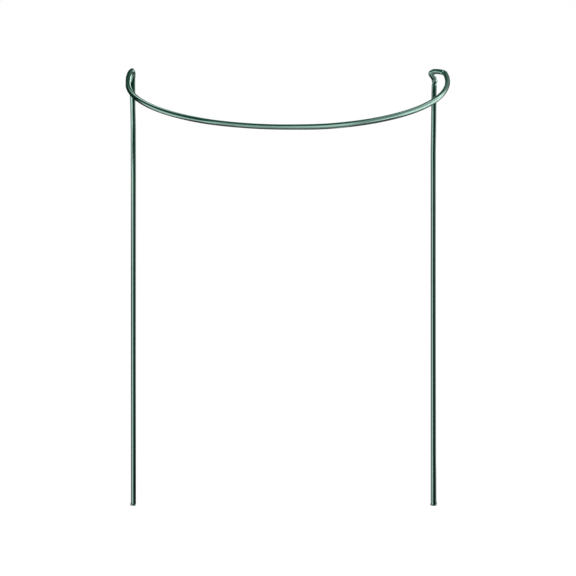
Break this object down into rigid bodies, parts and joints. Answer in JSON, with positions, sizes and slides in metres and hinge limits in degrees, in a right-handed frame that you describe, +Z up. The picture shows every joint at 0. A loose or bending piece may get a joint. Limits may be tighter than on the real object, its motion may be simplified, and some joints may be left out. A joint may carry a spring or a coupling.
{
  "type": "half-round plant support",
  "caption": "Half-round garden plant support: a plastic-coated steel wire bent to two upright legs and a level bow, with a hook at one end to link the next one.",
  "frame": {"origin": "on the ground in the plane of the two legs, under the centre of the bow's main arc", "axes": "+X across the bow from the plain corner to the hook, +Y from the bow back to the legs, +Z up along the legs"},
  "size_m": [0.2995, 0.2, 0.4192],
  "materials": {
    "cut_steel": "sawn and deburred cut ends",
    "green_plastic": "smooth gloss, dark bluish green"
  },
  "bodies": {
    "root": {"steel_core": "cut_steel", "green_coating": "green_plastic"}
  },
  "joints": []
}
